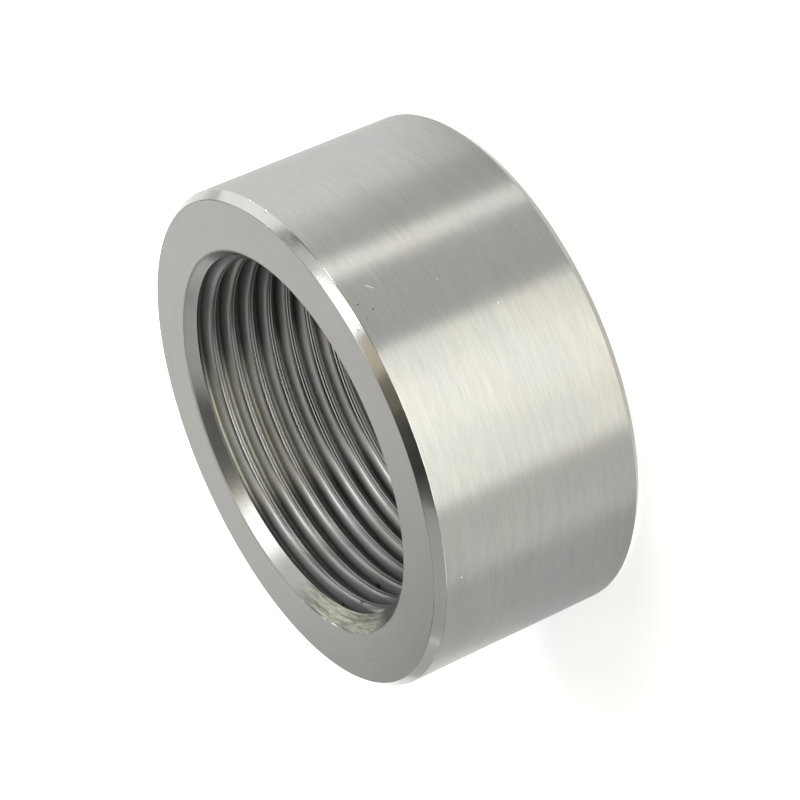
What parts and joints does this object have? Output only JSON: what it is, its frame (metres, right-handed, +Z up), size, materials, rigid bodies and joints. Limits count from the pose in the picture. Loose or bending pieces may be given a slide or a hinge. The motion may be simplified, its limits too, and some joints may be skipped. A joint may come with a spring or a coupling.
{
  "type": "weld-in socket",
  "caption": "Short round weld-in pipe socket with an internal parallel pipe thread, countersunk mouths and chamfered outer edges.",
  "frame": {"origin": "centre of the weld end face, on which the ring stands", "axes": "+Z up the bore from the weld end to the mouth, +X the direction at which the thread's phase is measured"},
  "size_m": [0.055, 0.055, 0.025],
  "materials": {
    "stainless_steel": "outer wall ground to a bright satin round the ring, end faces and thread as turned"
  },
  "bodies": {
    "root": {"socket_body": "stainless_steel"}
  },
  "joints": []
}
